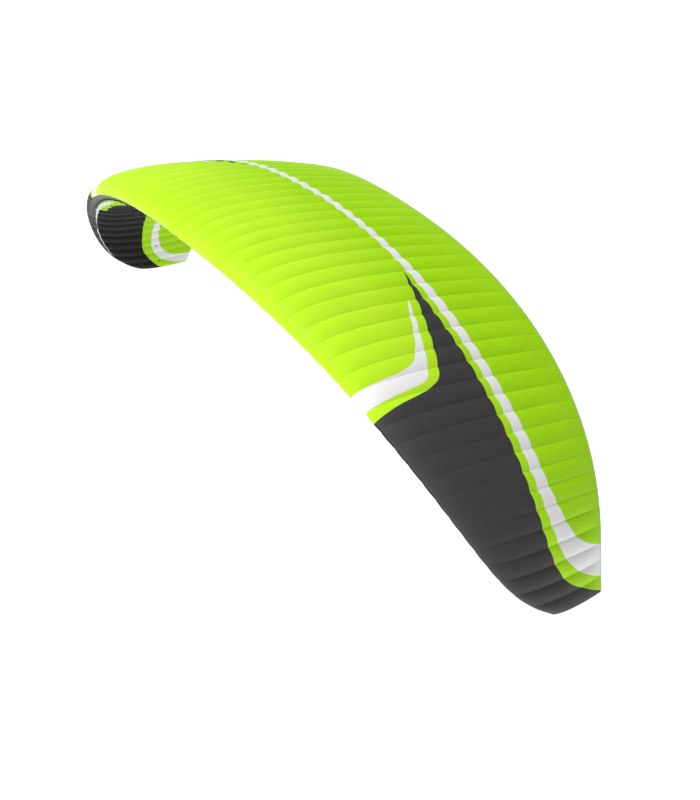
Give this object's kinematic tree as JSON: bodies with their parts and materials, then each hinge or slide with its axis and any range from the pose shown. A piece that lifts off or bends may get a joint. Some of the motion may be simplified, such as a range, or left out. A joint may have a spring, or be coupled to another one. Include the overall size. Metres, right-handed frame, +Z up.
{
  "type": "ram-air canopy",
  "caption": "Arched ram-air fabric canopy with air cells, ribs, intakes, line loops, brake flaps along the trailing edge and wing tips that fold under.",
  "frame": {"origin": "centre of the eye of the centre rib's front line loop", "axes": "+Z up out of the arch, +X along the span to the wing's left tip, leading edge facing -Y"},
  "size_m": [8.973, 2.9884, 2.9084],
  "materials": {
    "batten_plastic": "translucent nylon strip",
    "edge_tape": "woven pale grey tape",
    "loop_webbing": "woven black webbing",
    "lower_cloth": "thin coated ripstop nylon, in the same pattern as the upper skin",
    "nose_cloth": "thin coated ripstop nylon, lime, black towards the tips",
    "rib_cloth": "stiffer white ripstop",
    "strap_webbing": "woven white tape",
    "upper_cloth": "thin coated ripstop nylon, lime with black and white panels sewn in"
  },
  "bodies": {
    "root": {"a_line_loops": "loop_webbing", "b_line_loops": "loop_webbing", "c_line_loops": "loop_webbing", "cross_straps": "strap_webbing", "diagonal_ribs": "rib_cloth", "free_ribs": "rib_cloth", "intake_tape": "edge_tape", "loaded_ribs": "rib_cloth", "lower_skin_centre": "lower_cloth", "lower_skin_left": "lower_cloth", "lower_skin_right": "lower_cloth", "nose_battens": "batten_plastic", "nose_panels_centre": "nose_cloth", "nose_panels_left": "nose_cloth", "nose_panels_right": "nose_cloth", "trailing_tape": "edge_tape", "upper_skin_centre": "upper_cloth", "upper_skin_mid_left": "upper_cloth", "upper_skin_mid_right": "upper_cloth", "upper_skin_outer_left": "upper_cloth", "upper_skin_outer_right": "upper_cloth"},
    "ear_left": {"end_panel_left": "lower_cloth", "line_loops_tip_left": "loop_webbing", "lower_skin_tip_left": "lower_cloth", "nose_battens_tip_left": "batten_plastic", "ribs_tip_left": "rib_cloth", "trailing_tape_tip_left": "edge_tape", "upper_skin_tip_left": "upper_cloth"},
    "ear_right": {"end_panel_right": "lower_cloth", "line_loops_tip_right": "loop_webbing", "lower_skin_tip_right": "lower_cloth", "nose_battens_tip_right": "batten_plastic", "ribs_tip_right": "rib_cloth", "trailing_tape_tip_right": "edge_tape", "upper_skin_tip_right": "upper_cloth"},
    "flap_left_1": {"flap_left_1_rib_tails": "rib_cloth", "flap_left_1_skins": "upper_cloth", "flap_left_1_tape": "edge_tape"},
    "flap_left_2": {"flap_left_2_rib_tails": "rib_cloth", "flap_left_2_skins": "upper_cloth", "flap_left_2_tape": "edge_tape"},
    "flap_left_3": {"flap_left_3_rib_tails": "rib_cloth", "flap_left_3_skins": "upper_cloth", "flap_left_3_tape": "edge_tape"},
    "flap_left_4": {"flap_left_4_rib_tails": "rib_cloth", "flap_left_4_skins": "upper_cloth", "flap_left_4_tape": "edge_tape"},
    "flap_right_1": {"flap_right_1_rib_tails": "rib_cloth", "flap_right_1_skins": "upper_cloth", "flap_right_1_tape": "edge_tape"},
    "flap_right_2": {"flap_right_2_rib_tails": "rib_cloth", "flap_right_2_skins": "upper_cloth", "flap_right_2_tape": "edge_tape"},
    "flap_right_3": {"flap_right_3_rib_tails": "rib_cloth", "flap_right_3_skins": "upper_cloth", "flap_right_3_tape": "edge_tape"},
    "flap_right_4": {"flap_right_4_rib_tails": "rib_cloth", "flap_right_4_skins": "upper_cloth", "flap_right_4_tape": "edge_tape"}
  },
  "joints": [
    {"name": "ear_fold_left", "type": "hinge", "parent": "root", "child": "ear_left", "pos_m": [3.86072, 0.65569, -1.54015], "axis": [-0.0432, 0.9986, -0.0313], "range_deg": [0, 60], "stiffness_Nm_per_rad": 14, "springref_deg": -17.19},
    {"name": "ear_fold_right", "type": "hinge", "parent": "root", "child": "ear_right", "pos_m": [-3.86072, 0.65569, -1.54015], "axis": [-0.0432, -0.9986, 0.0313], "range_deg": [0, 60], "stiffness_Nm_per_rad": 14, "springref_deg": -17.19},
    {"name": "brake_left", "type": "hinge", "parent": "root", "child": "flap_left_1", "pos_m": [1.07397, 2.01958, 0.00012], "axis": [-0.9709, -0.0577, 0.2325], "range_deg": [0, 35], "stiffness_Nm_per_rad": 6, "springref_deg": -14.32},
    {"name": "brake_left_2", "type": "hinge", "parent": "root", "child": "flap_left_2", "pos_m": [1.90008, 2.06873, -0.19769], "axis": [-0.9177, -0.0548, 0.3935], "range_deg": [0, 35], "stiffness_Nm_per_rad": 6, "springref_deg": -14.32},
    {"name": "brake_left_3", "type": "hinge", "parent": "root", "child": "flap_left_3", "pos_m": [2.66367, 2.11432, -0.52516], "axis": [-0.8249, -0.0364, 0.5641], "range_deg": [0, 35], "stiffness_Nm_per_rad": 6, "springref_deg": -14.32},
    {"name": "brake_left_4", "type": "hinge", "parent": "root", "child": "flap_left_4", "pos_m": [3.32837, 2.14369, -0.97973], "axis": [-0.6854, -0.011, 0.7281], "range_deg": [0, 35], "stiffness_Nm_per_rad": 6, "springref_deg": -14.32},
    {"name": "brake_right", "type": "hinge", "parent": "root", "child": "flap_right_1", "pos_m": [-1.90008, 2.06873, -0.19769], "axis": [-0.9709, 0.0577, -0.2325], "range_deg": [0, 35], "stiffness_Nm_per_rad": 6, "springref_deg": -14.32},
    {"name": "brake_right_2", "type": "hinge", "parent": "root", "child": "flap_right_2", "pos_m": [-2.66367, 2.11432, -0.52516], "axis": [-0.9177, 0.0548, -0.3935], "range_deg": [0, 35], "stiffness_Nm_per_rad": 6, "springref_deg": -14.32},
    {"name": "brake_right_3", "type": "hinge", "parent": "root", "child": "flap_right_3", "pos_m": [-3.32837, 2.14369, -0.97973], "axis": [-0.8249, 0.0364, -0.5641], "range_deg": [0, 35], "stiffness_Nm_per_rad": 6, "springref_deg": -14.32},
    {"name": "brake_right_4", "type": "hinge", "parent": "root", "child": "flap_right_4", "pos_m": [-3.85789, 2.1522, -1.54219], "axis": [-0.6854, 0.011, -0.7281], "range_deg": [0, 35], "stiffness_Nm_per_rad": 6, "springref_deg": -14.32}
  ],
  "couplings": [
    {"joint": "brake_left_2", "follows": "brake_left", "ratio": 1},
    {"joint": "brake_left_3", "follows": "brake_left", "ratio": 1},
    {"joint": "brake_left_4", "follows": "brake_left", "ratio": 1},
    {"joint": "brake_right_2", "follows": "brake_right", "ratio": 1},
    {"joint": "brake_right_3", "follows": "brake_right", "ratio": 1},
    {"joint": "brake_right_4", "follows": "brake_right", "ratio": 1}
  ]
}
